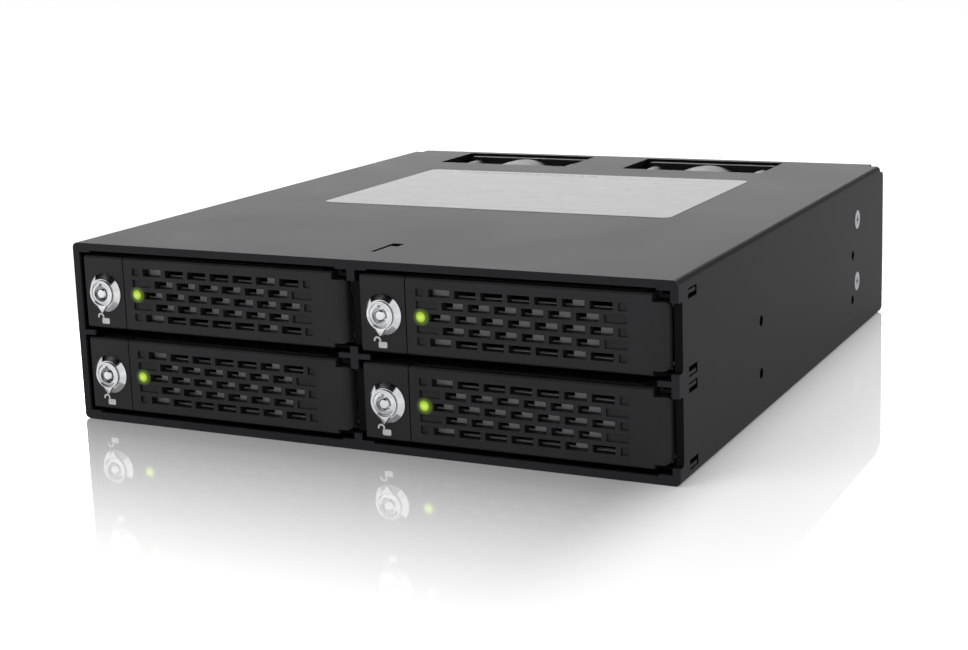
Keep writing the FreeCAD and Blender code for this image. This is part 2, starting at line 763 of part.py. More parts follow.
def backplane_board():
    left = -inner_x + board_edge_gap
    low = shell_wall + board_edge_gap
    y0 = front_y + board_front
    board = block(left, -left, y0, y0 + board_thick, low, cage_height - low)
    cuts = []
    for x, floor in bay_middles():
        for column in range(air_slot_count):
            x0 = x + (column - (air_slot_count - 1) / 2) * air_slot_pitch - air_slot_width / 2
            z0 = front_sill + floor + socket_rise + socket_height + air_slot_rise
            slot = rectangle(x0, x0 + air_slot_width, z0, z0 + air_slot_height, air_slot_round)
            cuts.append(prism_y(slot, y0 - 1, y0 + board_thick + 1))
    for x, z in board_screw_places():
        cuts.append(rod(screw_radius + board_hole_clearance, (x, y0 - 1, z), (0, 1, 0), board_thick + 2))
    return board.cut(cuts)


def board_screw_places():
    x = inner_x - bracket_gap - bracket_thick - ear_board / 2
    return [(side * x, z) for side in (-1, 1) for z in (board_screw_edge, cage_height - board_screw_edge)]


def drive_sockets():
    made = []
    for x, floor in bay_middles():
        centre = x - bay_width / 2 + socket_inset + socket_width / 2
        z0 = front_sill + floor + socket_rise
        y1 = front_y + board_front
        y0 = y1 - socket_depth + drive_gap
        body = block(centre - socket_width / 2, centre + socket_width / 2, y0, y1, z0, z0 + socket_height)
        middle = z0 + socket_height / 2
        low = middle - socket_slot_height / 2
        high = middle + socket_slot_height / 2
        left = centre - socket_width / 2 + socket_wall
        power = block(left, left + socket_power_slot, y0 - 1, y0 + socket_slot_depth, low, high)
        left += socket_power_slot + socket_key
        data = block(left, left + socket_data_slot, y0 - 1, y0 + socket_slot_depth, low, high)
        made.append(body.cut([power, data]))
    return Part.makeCompound(made)


def shrouded_port(x, z, width, height):
    y0 = front_y + board_rear
    body = block(x - width / 2, x + width / 2, y0, y0 + port_depth, z - height / 2, z + height / 2)
    hollow = block(x - width / 2 + port_wall, x + width / 2 - port_wall, y0 + port_base,
                   y0 + port_depth + 1, z - height / 2 + port_wall, z + height / 2 - port_wall)
    blade = block(x - width / 2 + blade_inset, x + width / 2 - blade_inset, y0 + port_base,
                  y0 + port_depth - blade_setback, z - blade_low, z + blade_high)
    return body.cut(hollow).fuse(blade)


def data_ports():
    middle = cage_height / 2
    heights = [middle + (index - 1.5) * data_pitch for index in range(4)]
    return Part.makeCompound([shrouded_port(data_x, z, data_width, data_height) for z in heights])


def power_ports():
    middle = cage_height / 2
    heights = [middle - power_pitch / 2, middle + power_pitch / 2]
    return Part.makeCompound([shrouded_port(power_x, z, power_width, power_height) for z in heights])


def rear_bracket():
    outer = inner_x - bracket_gap
    low = shell_wall + bracket_gap
    high = cage_height - shell_wall - bracket_gap
    y1 = front_y + bracket_rear
    y0 = y1 - bracket_thick
    ears_y = front_y + board_rear
    panel = block(-outer, outer, y0, y1, low, high)
    added = []
    for side in (-1, 1):
        x0, x1 = sorted((side * outer, side * (outer - bracket_thick)))
        added.append(block(x0, x1, ears_y, y1, low + bracket_side_gap, high - bracket_side_gap))
        e0, e1 = sorted((side * outer, side * (outer - bracket_thick - ear_board)))
        for z0 in (low + bracket_side_gap, high - bracket_side_gap - ear_board):
            added.append(block(e0, e1, ears_y, ears_y + bracket_thick, z0, z0 + ear_board))
    bracket = panel.fuse(added)
    cuts = []
    middle = cage_height / 2
    for x in fan_xs:
        cuts.append(rod(bracket_hole_radius, (x, y0 - 1, middle), (0, 1, 0), bracket_thick + 2))
        for dx in (-1, 1):
            for dz in (-1, 1):
                place = (x + dx * fan_hole_pitch / 2, y0 - 1, middle + dz * fan_hole_pitch / 2)
                cuts.append(rod(screw_radius, place, (0, 1, 0), bracket_thick + 2))
    # cable windows between and beside the fans
    data0 = fan_left_x + fan_size / 2 + window_margin
    data1 = fan_right_x - fan_size / 2 - window_margin
    power0 = fan_right_x + fan_size / 2 + window_margin
    power1 = outer - bracket_thick - window_margin
    for x0, x1 in ((data0, data1), (power0, power1)):
        window = rectangle(x0, x1, low + window_edge, high - window_edge, window_round)
        cuts.append(prism_y(window, y0 - 1, y1 + 1))
    # threaded holes for the countersunk side screws and for the board screws
    for side in (-1, 1):
        for z in (csk_low, csk_low + csk_rise):
            cuts.append(rod(screw_radius, (side * (outer + 1), front_y + csk_depth, z), (-side, 0, 0),
                            bracket_thick + 1.5))
    for x, z in board_screw_places():
        cuts.append(rod(screw_radius, (x, ears_y - 1, z), (0, 1, 0), bracket_thick + 2))
    return bracket.cut(cuts)


def side_screws():
    made = []
    for side in (-1, 1):
        for z in (csk_low, csk_low + csk_rise):
            body = screw(csk_head_radius, csk_head_height, screw_length, True)
            body.rotate(V(0, 0, 0), V(0, 0, 1), side * 90)
            made.append(body.translated(V(side * cage_width / 2, front_y + csk_depth, z)))
    return Part.makeCompound(made)


def board_screws():
    made = []
    for x, z in board_screw_places():
        length = board_head_height + board_thick + board_screw_bite
        body = screw(board_head_radius, board_head_height, length, False)
        made.append(body.translated(V(x, front_y + board_front - board_head_height, z)))
    return Part.makeCompound(made)


# ---- fans ----
def fan_frame(x):
    middle = cage_height / 2
    half = fan_size / 2
    y0 = front_y + fan_front
    y1 = front_y + fan_rear
    square = rectangle(x - half, x + half, middle - half, middle + half, fan_corner)
    frame = prism_y(square, y0, y0 + fan_flange).fuse([
        prism_y(square, y1 - fan_flange, y1),
        rod(fan_barrel_radius, (x, y0, middle), (0, 1, 0), fan_depth)])
    screw_places = [(x + dx * fan_hole_pitch / 2, middle + dz * fan_hole_pitch / 2)
                    for dx in (-1, 1) for dz in (-1, 1)]
    frame = frame.fuse([rod(fan_post_radius, (px, y0, pz), (0, 1, 0), fan_depth) for px, pz in screw_places])
    frame = frame.cut(rod(fan_duct_radius, (x, y0 - 1, middle), (0, 1, 0), fan_depth + 2))
    struts = []
    for turn in range(4):
        reach = (fan_duct_radius + fan_barrel_radius) / 2
        strut = block(0, reach, 0, fan_strut_depth, -fan_strut / 2, fan_strut / 2)
        strut.rotate(V(0, 0, 0), V(0, 1, 0), 45 + turn * 90)
        struts.append(strut.translated(V(x, y0 + fan_skin, middle)))
    base = (x, y0 + fan_skin, middle)
    motor = rod(fan_motor_radius, base, (0, 1, 0), fan_motor_depth)
    boss = rod(shaft_radius + fan_boss_wall, base, (0, 1, 0), fan_motor_depth + fan_boss_length)
    frame = frame.fuse(struts + [motor, boss])
    bore_start = (x, y0 + fan_shaft_start - fan_run_gap, middle)
    cuts = [rod(shaft_radius + shaft_clearance, bore_start, (0, 1, 0), fan_depth)]
    cuts += [rod(fan_hole_radius, (px, y0 - 1, pz), (0, 1, 0), fan_depth + 2) for px, pz in screw_places]
    return frame.cut(cuts)


def blade_face(x, y, z):
    """Cambered section of one blade, drawn where the blade leaves the hub."""
    angle = math.radians(blade_pitch)
    along = V(math.sin(angle), math.cos(angle), 0) * blade_chord
    normal = V(-math.cos(angle), math.sin(angle), 0)
    centre = V(x, y, z)
    half = normal * (blade_thick / 2)
    crown = centre + normal * blade_camber
    outer = [centre - along / 2 + half, crown + half, centre + along / 2 + half]
    inner = [centre + along / 2 - half, crown - half, centre - along / 2 - half]
    edges = [Part.Arc(*outer).toShape(), Part.makeLine(outer[2], inner[0]),
             Part.Arc(*inner).toShape(), Part.makeLine(inner[2], outer[0])]
    return Part.Face(Part.Wire(edges))


def fan_rotor(x):
    middle = cage_height / 2
    y0 = front_y + fan_front + fan_skin + fan_motor_depth + fan_run_gap
    hub_end = y0 + fan_hub_length
    cup = shaft_radius + fan_boss_wall + fan_run_gap
    hub = spun([(cup, y0), (fan_hub_radius, y0), (fan_hub_radius, hub_end - fan_hub_corner),
                (fan_hub_radius - fan_hub_corner, hub_end), (0, hub_end), (0, hub_end - fan_hub_web),
                (cup, hub_end - fan_hub_web)], x, middle)
    shaft_y = front_y + fan_front + fan_shaft_start
    shaft = rod(shaft_radius, (x, shaft_y, middle), (0, 1, 0), hub_end - fan_hub_web - shaft_y)
    tip = fan_duct_radius - fan_tip_gap
    core = fan_hub_radius - blade_root
    section = blade_face(x, y0 + fan_hub_length / 2, middle)
    ring = rod(tip, (x, y0, middle), (0, 1, 0), fan_hub_length)
    ring = ring.cut(rod(core, (x, y0 - 1, middle), (0, 1, 0), fan_hub_length + 2))
    blade = section.extrude(V(0, 0, fan_duct_radius)).common(ring)
    blades = []
    for turn in range(fan_blades):
        copy = blade.copy()
        copy.rotate(V(x, 0, middle), V(0, 1, 0), turn * 360 / fan_blades)
        blades.append(copy)
    return hub.fuse(blades + [shaft])


def fan_screws():
    made = []
    middle = cage_height / 2
    for x in fan_xs:
        for dx in (-1, 1):
            for dz in (-1, 1):
                length = fan_head_height + bracket_thick + fan_screw_bite
                body = screw(fan_head_radius, fan_head_height, length, False)
                body.rotate(V(0, 0, 0), V(0, 0, 1), 180)
                made.append(body.translated(V(x + dx * fan_hole_pitch / 2,
                                              front_y + bracket_rear + fan_head_height,
                                              middle + dz * fan_hole_pitch / 2)))
    return Part.makeCompound(made)


export(housing_shell(), "housing_shell")
export(centre_wall(), "centre_wall")
export(backplane_board(), "backplane_board")
export(drive_sockets(), "drive_sockets")
export(data_ports(), "data_ports")
export(power_ports(), "power_ports")
export(rear_bracket(), "rear_bracket")
export(side_screws(), "side_screws")
export(board_screws(), "board_screws")
export(fan_screws(), "fan_screws")
for name, x in (("left", fan_left_x), ("right", fan_right_x)):
    export(fan_frame(x), "fan_frame_" + name)
    export(fan_rotor(x), "fan_rotor_" + name)

tray_pieces = {
    "tray_plate": tray_plate(),
    "tray_front": tray_front(),
    "tray_screws": tray_screws(),
    "door": door(),
    "hinge_pin": hinge_pin(),
    "lock_collar": lock_collar(),
    "lock_cylinder": lock_cylinder(),
    "lock_cam": lock_cam(),
    "cam_screw": cam_screw(),
    "led_lens": led_lens(),
    "light_guide": light_guide(),
}
number = 0
for floor in reversed(bay_floors):
    for left in bay_lefts:
        number += 1
        place = V(left + front_left_gap, front_y, front_sill + floor)
        for name, shape in tray_pieces.items():
            export(shape.translated(place), name + "_" + str(number))
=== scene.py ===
import math
import bmesh
import bpy
from mathutils import Matrix, Vector


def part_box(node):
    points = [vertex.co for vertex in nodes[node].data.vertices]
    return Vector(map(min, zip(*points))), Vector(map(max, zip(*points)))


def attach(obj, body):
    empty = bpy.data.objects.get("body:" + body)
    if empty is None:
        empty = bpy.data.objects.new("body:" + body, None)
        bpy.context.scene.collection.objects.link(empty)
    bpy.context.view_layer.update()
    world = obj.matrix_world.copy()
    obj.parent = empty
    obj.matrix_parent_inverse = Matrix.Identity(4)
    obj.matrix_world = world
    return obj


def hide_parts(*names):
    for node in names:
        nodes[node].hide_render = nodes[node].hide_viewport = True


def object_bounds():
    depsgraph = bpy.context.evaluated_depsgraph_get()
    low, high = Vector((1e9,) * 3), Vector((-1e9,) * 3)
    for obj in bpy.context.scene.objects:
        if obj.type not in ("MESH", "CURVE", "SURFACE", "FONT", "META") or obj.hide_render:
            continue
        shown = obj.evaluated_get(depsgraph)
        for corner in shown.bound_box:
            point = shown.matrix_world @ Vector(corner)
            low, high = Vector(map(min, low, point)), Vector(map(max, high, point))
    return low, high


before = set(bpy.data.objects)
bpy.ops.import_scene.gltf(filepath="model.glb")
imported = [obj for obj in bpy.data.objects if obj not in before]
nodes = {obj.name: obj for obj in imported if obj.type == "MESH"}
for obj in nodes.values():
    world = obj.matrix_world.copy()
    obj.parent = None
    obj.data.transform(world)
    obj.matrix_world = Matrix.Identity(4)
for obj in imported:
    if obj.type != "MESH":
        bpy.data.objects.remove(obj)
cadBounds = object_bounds()

mm = 0.001
trayNumbers = (1, 2, 3, 4)
print("frame loaded:", len(nodes), "nodes")


def linear(hexColour):
    channels = [int(hexColour[i:i + 2], 16) / 255 for i in (1, 3, 5)]
    curved = (c / 12.92 if c <= 0.04045 else ((c + 0.055) / 1.055) ** 2.4 for c in channels)
    return tuple(curved) + (1.0,)


def addNode(tree, kind, settings=None, links=None):
    node = tree.nodes.new(kind)
    for name, value in (settings or {}).items():
        if hasattr(node, name):
            setattr(node, name, value)
        else:
            node.inputs[name].default_value = value
    for name, source in (links or {}).items():
        tree.links.new(source, node.inputs[name])
    return node


def maths(tree, operation, *values, kind="ShaderNodeMath", output=0):
    # each value is a number, a vector or the output of another node
    node = addNode(tree, kind, {"operation": operation})
    for socket, value in zip(node.inputs, values):
        if isinstance(value, bpy.types.NodeSocket):
            tree.links.new(value, socket)
        else:
            socket.default_value = value
    return node.outputs[output]


def vectorMaths(tree, operation, *values, output="Vector"):
    return maths(tree, operation, *values, kind="ShaderNodeVectorMath", output=output)


def newMaterial(name, settings):
    material = bpy.data.materials.new(name)
    material.use_nodes = True
    tree = material.node_tree
    tree.nodes.clear()
    shader = addNode(tree, "ShaderNodeBsdfPrincipled", settings)
    addNode(tree, "ShaderNodeOutputMaterial", links={"Surface": shader.outputs[0]})
    place = addNode(tree, "ShaderNodeTexCoord")
    return material, tree, shader, place.outputs["Object"]


def ramp(tree, factor, stops):
    node = addNode(tree, "ShaderNodeValToRGB", links={"Fac": factor})
    marks = node.color_ramp.elements
    marks[0].position, marks[0].color = stops[0][0], linear(stops[0][1])
    marks[1].position, marks[1].color = stops[-1][0], linear(stops[-1][1])
    for position, colour in stops[1:-1]:
        marks.new(position).color = linear(colour)
    return node.outputs["Color"]


toneEnds = (0.3, 0.7)  # where a noise pattern has reached its dark and its light colour


def tones(tree, factor, dark, light):
    return ramp(tree, factor, [(toneEnds[0], dark), (toneEnds[1], light)])


def grain(tree, place, size, detail=3.0):
    # noise whose features are about size millimetres across
    return addNode(tree, "ShaderNodeTexNoise", {"Scale": 1 / (size * mm), "Detail": detail},
                   {"Vector": place}).outputs["Fac"]


def bump(tree, shader, height, depth, strength=0.4):
    node = addNode(tree, "ShaderNodeBump", {"Strength": strength, "Distance": depth * mm},
                   {"Height": height})
    tree.links.new(node.outputs["Normal"], shader.inputs["Normal"])


def spread(tree, factor, low, high):
    # brings a 0 to 1 pattern to the range low to high
    return addNode(tree, "ShaderNodeMapRange", {"To Min": low, "To Max": high},
                   {"Value": factor}).outputs[0]


def mixed(tree, factor, colour, hexColour):
    # the colour where the factor is 0, the plain one where it is 1
    node = addNode(tree, "ShaderNodeMix", {"data_type": "RGBA"})
    tree.links.new(factor, node.inputs[0])
    tree.links.new(colour, node.inputs[6])
    node.inputs[7].default_value = linear(hexColour)
    return node.outputs[2]


coat = {"dark": "#252527", "light": "#2b2b2d", "paintedShadeInside": "#0b0b0c", "mouthMm": 0.5,
        "outerShare": 0.9993,  # further out than this share of the shell's box is its outside
        "grainMm": 0.5, "peelMm": 0.01, "cloudMm": 26.0, "rough": (0.5, 0.58), "ior": 1.5, "shine": 0.06}


def blackPowderCoat():
    # polyester powder coat baked on sheet steel: even satin black with a fine orange peel. Within the
    # shell's outer faces the black is deeper: painted shade for the recesses and inner faces
    material, tree, shader, place = newMaterial("blackPowderCoat", {
        "IOR": coat["ior"], "Specular IOR Level": coat["shine"]})
    clouds = grain(tree, place, coat["cloudMm"])
    black = tones(tree, clouds, coat["dark"], coat["light"])
    low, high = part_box("housing_shell")
    low.y += coat["mouthMm"] * mm
    high.y += coat["mouthMm"] * mm
    moved = vectorMaths(tree, "SUBTRACT", place, (low + high) / 2)
    reach = vectorMaths(tree, "ABSOLUTE", vectorMaths(tree, "DIVIDE", moved, (high - low) / 2))
    sides = addNode(tree, "ShaderNodeSeparateXYZ", links={"Vector": reach}).outputs
    furthest = maths(tree, "MAXIMUM", maths(tree, "MAXIMUM", sides["X"], sides["Y"]), sides["Z"])
    # painted shade: 1 for every face inside the shell's box, which takes the deeper black
    inner = maths(tree, "LESS_THAN", furthest, coat["outerShare"])
    tree.links.new(mixed(tree, inner, black, coat["paintedShadeInside"]), shader.inputs["Base Color"])
    tree.links.new(spread(tree, clouds, *coat["rough"]), shader.inputs["Roughness"])
    bump(tree, shader, grain(tree, place, coat["grainMm"]), coat["peelMm"])
    return material


lamp = {"core": "#d3ee5c", "edge": "#93ba26", "body": "#33420f", "radiusMm": 1.15, "asideMm": 0.25,
        "strength": 0.9, "glowEnds": (0.15, 0.95), "ior": 1.49, "rough": 0.15,
        "halo": "#93b52c", "haloMm": (0.92, 2.2), "haloStrength": 0.34}
lensCentres = {}
for number in trayNumbers:
    low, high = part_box("led_lens_" + str(number))
    lensCentres[number] = ((low.x + high.x) / 2 + lamp["asideMm"] * mm, low.y, (low.z + high.z) / 2)
moulded = {"dark": "#1c1c1d", "light": "#232325", "cloudMm": 12.0, "rough": (0.42, 0.54), "ior": 1.49,
           "shine": 0.2, "grainMm": 0.3, "grainDetail": 2.0, "grainDeepMm": 0.008, "grainStrength": 0.5,
           "screenMm": (2.6, 3.9), "screenHighMm": 12.6, "screenColour": "#bdbdbf"}


def sparkGrainPlastic():
    # ABS from a spark-eroded mould: matt black with a fine dry grain. The tray front is grey where it
    # stands behind the slots of the door, and round each lens green light is painted on the plastic
    material, tree, shader, place = newMaterial("sparkGrainPlastic", {
        "IOR": moulded["ior"], "Specular IOR Level": moulded["shine"],
        "Emission Color": linear(lamp["halo"])})
    clouds = grain(tree, place, moulded["cloudMm"])
    black = tones(tree, clouds, moulded["dark"], moulded["light"])
    low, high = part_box("tray_front_3")
    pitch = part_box("tray_front_1")[0].z - low.z
    first, last = (low.y + edge * mm for edge in moulded["screenMm"])
    axes = addNode(tree, "ShaderNodeSeparateXYZ", links={"Vector": place}).outputs
    deep = maths(tree, "COMPARE", axes["Y"], (first + last) / 2, (last - first) / 2)
    inRow = maths(tree, "MODULO", maths(tree, "SUBTRACT", axes["Z"], low.z), pitch)
    level = maths(tree, "COMPARE", inRow, (high.z - low.z) / 2, moulded["screenHighMm"] / 2 * mm)
    screen = maths(tree, "MULTIPLY", deep, level)
    tree.links.new(mixed(tree, screen, black, moulded["screenColour"]), shader.inputs["Base Color"])
    # painted light: green emission on the plastic round each lens, fading with the distance, for the light
    # the lens throws on it
    nearest = None
    for centre in lensCentres.values():
        away = vectorMaths(tree, "DISTANCE", place, centre, output="Value")
        nearest = maths(tree, "MINIMUM", nearest, away) if nearest else away
    glow = addNode(tree, "ShaderNodeMapRange", {
        "interpolation_type": "SMOOTHSTEP", "From Min": lamp["haloMm"][0] * mm,
        "From Max": lamp["haloMm"][1] * mm, "To Min": lamp["haloStrength"], "To Max": 0.0},
        {"Value": nearest})
    tree.links.new(glow.outputs[0], shader.inputs["Emission Strength"])
    tree.links.new(spread(tree, clouds, *moulded["rough"]), shader.inputs["Roughness"])
    bump(tree, shader, grain(tree, place, moulded["grainMm"], moulded["grainDetail"]),
         moulded["grainDeepMm"], moulded["grainStrength"])
    return material


zincLook = {"dark": "#9ea2a6", "light": "#b4b7ba", "cloudMm": 9.0, "rough": (0.26, 0.42),
            "lineMm": 0.4, "lineStretch": (1.0, 0.04, 1.0), "deepMm": 0.004, "strength": 0.3}


def zincSheet():
    # zinc-plated sheet steel: bright grey, with faint rolling lines and a slow change of tone
    material, tree, shader, place = newMaterial("zincSheet", {"Metallic": 1.0})
    stretched = addNode(tree, "ShaderNodeMapping", {"Scale": zincLook["lineStretch"]}, {"Vector": place})
    lines = grain(tree, stretched.outputs[0], zincLook["lineMm"])
    colour = tones(tree, grain(tree, place, zincLook["cloudMm"]), zincLook["dark"], zincLook["light"])
    tree.links.new(colour, shader.inputs["Base Color"])
    tree.links.new(spread(tree, lines, *zincLook["rough"]), shader.inputs["Roughness"])
    bump(tree, shader, lines, zincLook["deepMm"], zincLook["strength"])
    return material


chromeLook = {"dark": "#c9cacc", "light": "#d9dadc", "hazeMm": 1.4, "rough": (0.07, 0.16),
              "waveMm": 0.5, "deepMm": 0.003, "strength": 0.2}


def chromePlate():
    # chrome plate on die-cast zinc: near mirror, with the finest of handling haze
    material, tree, shader, place = newMaterial("chromePlate", {"Metallic": 1.0})
    haze = grain(tree, place, chromeLook["hazeMm"])
    colour = tones(tree, haze, chromeLook["dark"], chromeLook["light"])
    tree.links.new(colour, shader.inputs["Base Color"])
    tree.links.new(spread(tree, haze, *chromeLook["rough"]), shader.inputs["Roughness"])
    bump(tree, shader, grain(tree, place, chromeLook["waveMm"]), chromeLook["deepMm"],
         chromeLook["strength"])
    return material


steelMarks = {"sizeMm": 0.35, "deepMm": 0.004, "strength": 0.3}


def turnedSteel(name, dark, light, rough):
    # turned or ground steel: fine turning marks seen as a change of gloss
    material, tree, shader, place = newMaterial(name, {"Metallic": 1.0})
    marks = grain(tree, place, steelMarks["sizeMm"])
    tree.links.new(tones(tree, marks, dark, light), shader.inputs["Base Color"])
    tree.links.new(spread(tree, marks, *rough), shader.inputs["Roughness"])
    bump(tree, shader, marks, steelMarks["deepMm"], steelMarks["strength"])
    return material


filledLook = {"ior": 1.52, "shine": 0.15, "grainMm": 0.4, "deepMm": 0.006}


def dullPlastic(name, dark, light, size, rough):
    # filled engineering plastic: dull black with a cloudy flow
    material, tree, shader, place = newMaterial(name, {
        "IOR": filledLook["ior"], "Specular IOR Level": filledLook["shine"]})
    clouds = grain(tree, place, size)
    tree.links.new(tones(tree, clouds, dark, light), shader.inputs["Base Color"])
    tree.links.new(spread(tree, clouds, *rough), shader.inputs["Roughness"])
    bump(tree, shader, grain(tree, place, filledLook["grainMm"]), filledLook["deepMm"])
    return material


boardLook = {"dark": "#0b2a18", "light": "#14402a", "ior": 1.5, "rough": 0.3, "deepMm": 0.02,
             "strength": 0.3, "bandEnds": (0.45, 0.6),
             "bandScale": 110.0}  # gives tracks about 2.9 mm apart


def solderMask():
    # glass-epoxy laminate under green solder mask: copper tracks show as paler raised bands
    material, tree, shader, place = newMaterial("solderMask", {
        "IOR": boardLook["ior"], "Roughness": boardLook["rough"]})
    bands = addNode(tree, "ShaderNodeTexWave", {
        "bands_direction": "X", "Scale": boardLook["bandScale"], "Distortion": 0.0},
        {"Vector": place}).outputs["Fac"]
    start, end = boardLook["bandEnds"]
    colour = ramp(tree, bands, [(start, boardLook["dark"]), (end, boardLook["light"])])
    tree.links.new(colour, shader.inputs["Base Color"])
    bump(tree, shader, bands, boardLook["deepMm"], boardLook["strength"])
    return material


def litLens(name, centre):
    # clear acrylic lens lit from behind: brightest on its axis, greener at the rim
    material, tree, shader, place = newMaterial(name, {
        "IOR": lamp["ior"], "Roughness": lamp["rough"], "Base Color": linear(lamp["body"])})
    away = vectorMaths(tree, "DISTANCE", place, centre, output="Value")
    share = addNode(tree, "ShaderNodeMapRange", {"From Max": lamp["radiusMm"] * mm}, {"Value": away})
    start, end = lamp["glowEnds"]
    glow = ramp(tree, share.outputs[0], [(start, lamp["core"]), (end, lamp["edge"])])
    tree.links.new(glow, shader.inputs["Emission Color"])
    shader.inputs["Emission Strength"].default_value = lamp["strength"]
    return material


acrylicLook = {"colour": "#e8efe6", "ior": 1.49, "clear": 0.9, "hazeMm": 0.6, "rough": (0.04, 0.12)}


def clearAcrylic():
    # moulded clear acrylic, faintly hazy
    material, tree, shader, place = newMaterial("clearAcrylic", {
        "IOR": acrylicLook["ior"], "Transmission Weight": acrylicLook["clear"],
        "Base Color": linear(acrylicLook["colour"])})
    haze = grain(tree, place, acrylicLook["hazeMm"])
    tree.links.new(spread(tree, haze, *acrylicLook["rough"]), shader.inputs["Roughness"])
    return material


filmLook = {"dark": "#afafaf", "light": "#b6b6b6", "ior": 1.45, "shine": 0.12, "mottleMm": 5.0,
            "glossMm": 1.5, "rough": (0.5, 0.62), "grainMm": 0.6, "deepMm": 0.004, "strength": 0.2}


def labelFilm():
    # matt polyester label film: pale grey with a barely visible mottle
    material, tree, shader, place = newMaterial("labelFilm", {
        "IOR": filmLook["ior"], "Specular IOR Level": filmLook["shine"]})
    colour = tones(tree, grain(tree, place, filmLook["mottleMm"]), filmLook["dark"], filmLook["light"])
    tree.links.new(colour, shader.inputs["Base Color"])
    gloss = grain(tree, place, filmLook["glossMm"])
    tree.links.new(spread(tree, gloss, *filmLook["rough"]), shader.inputs["Roughness"])
    bump(tree, shader, grain(tree, place, filmLook["grainMm"]), filmLook["deepMm"], filmLook["strength"])
    return material


inkLook = {"ior": 1.5, "rough": 0.55, "grainMm": 0.3}


def printInk(name, dark, light):
    # screen-printed ink: flat, with slightly uneven cover
    material, tree, shader, place = newMaterial(name, {
        "IOR": inkLook["ior"], "Roughness": inkLook["rough"]})
    cover = grain(tree, place, inkLook["grainMm"])
    tree.links.new(tones(tree, cover, dark, light), shader.inputs["Base Color"])
    return material


goldLook = {"dark": "#c79b45", "light": "#e0b862", "toneMm": 0.5, "rough": (0.18, 0.3)}


def goldFlash():
    # thin gold over nickel on the contacts
    material, tree, shader, place = newMaterial("goldFlash", {"Metallic": 1.0})
    tone = grain(tree, place, goldLook["toneMm"])
    colour = tones(tree, tone, goldLook["dark"], goldLook["light"])
    tree.links.new(colour, shader.inputs["Base Color"])
    tree.links.new(spread(tree, tone, *goldLook["rough"]), shader.inputs["Roughness"])
    return material


def paint(names, material):
    for name in names:
        for materialSlot in nodes[name].material_slots:
            materialSlot.material = material


def perTray(*names):
    return [name + "_" + str(number) for name in names for number in trayNumbers]


powder = blackPowderCoat()
plastic = sparkGrainPlastic()
zinc = zincSheet()
chrome = chromePlate()
nickel = turnedSteel("nickelScrew", "#7c7e81", "#9a9c9f", (0.3, 0.42))
blackOxide = turnedSteel("blackOxideScrew", "#1d1e20", "#2c2d30", (0.32, 0.46))
groundPin = turnedSteel("groundPin", "#a2a5a8", "#bcbfc2", (0.14, 0.24))
nylon = dullPlastic("glassFilledNylon", "#0f0f10", "#1b1b1c", 2.0, (0.5, 0.62))
fanPlastic = dullPlastic("fanPolyester", "#0e0e0f", "#171718", 5.0, (0.4, 0.52))
paint(["housing_shell", "centre_wall"] + perTray("tray_plate"), powder)
paint(perTray("tray_front", "door"), plastic)
paint(perTray("lock_cam") + ["rear_bracket"], zinc)
paint(["side_screws", "board_screws"], nickel)
paint(["fan_screws"] + perTray("tray_screws", "cam_screw"), blackOxide)
paint(perTray("hinge_pin"), groundPin)
paint(["backplane_board"], solderMask())
paint(["drive_sockets", "data_ports", "power_ports"], nylon)
paint(["fan_frame_left", "fan_frame_right", "fan_rotor_left", "fan_rotor_right"], fanPlastic)
paint(perTray("light_guide"), clearAcrylic())
for number in trayNumbers:
    paint(["led_lens_" + str(number)], litLens("litLens" + str(number), lensCentres[number]))
print("materials made:", len(bpy.data.materials))


def markTree(name, crossed):
    # Geometry Nodes that put a bar, or two bars crossed, on every point
    tree = bpy.data.node_groups.new(name, "GeometryNodeTree")
    sockets = (("Points", "NodeSocketGeometry"), ("Length", "NodeSocketFloat"),
               ("Depth", "NodeSocketFloat"), ("Width", "NodeSocketFloat"), ("Turn", "NodeSocketFloat"),
               ("Shortest", "NodeSocketFloat"), ("Seed", "NodeSocketInt"),
               ("Finish", "NodeSocketMaterial"))
    for label, kind in sockets:
        tree.interface.new_socket(label, in_out="INPUT", socket_type=kind)
    tree.interface.new_socket("Marks", in_out="OUTPUT", socket_type="NodeSocketGeometry")
    given = addNode(tree, "NodeGroupInput").outputs
    size = addNode(tree, "ShaderNodeCombineXYZ", links={"X": given["Length"], "Y": given["Depth"],
                                                        "Z": given["Width"]})
    mark = addNode(tree, "GeometryNodeMeshCube", links={"Size": size.outputs[0]}).outputs["Mesh"]
    if crossed:
        other = addNode(tree, "ShaderNodeCombineXYZ", links={"X": given["Width"], "Y": given["Depth"],
                                                             "Z": given["Length"]})
        second = addNode(tree, "GeometryNodeMeshCube", links={"Size": other.outputs[0]})
        pair = addNode(tree, "GeometryNodeJoinGeometry", links={"Geometry": mark})
        tree.links.new(second.outputs["Mesh"], pair.inputs["Geometry"])
        mark = pair.outputs[0]
    chance = addNode(tree, "FunctionNodeRandomValue", {"data_type": "FLOAT"})
    tree.links.new(given["Shortest"], chance.inputs[2])
    chance.inputs[3].default_value = 1.0
    tree.links.new(given["Seed"], chance.inputs["Seed"])
    stretch = addNode(tree, "ShaderNodeCombineXYZ", {"Y": 1.0, "Z": 1.0}, {"X": chance.outputs[1]})
    turn = addNode(tree, "ShaderNodeCombineXYZ", links={"Z": given["Turn"]})
    placed = addNode(tree, "GeometryNodeInstanceOnPoints", links={
        "Points": given["Points"], "Instance": mark, "Scale": stretch.outputs[0],
        "Rotation": turn.outputs[0]})
    solid = addNode(tree, "GeometryNodeRealizeInstances", links={"Geometry": placed.outputs[0]})
    done = addNode(tree, "GeometryNodeSetMaterial", links={"Geometry": solid.outputs[0],
                                                           "Material": given["Finish"]})
    addNode(tree, "NodeGroupOutput", links={"Marks": done.outputs[0]})
    return tree


barTree = markTree("barMarks", False)
crossTree = markTree("crossMarks", True)


def addObject(name, mesh):
    piece = bpy.data.objects.new(name, mesh)
    bpy.context.scene.collection.objects.link(piece)
    return piece


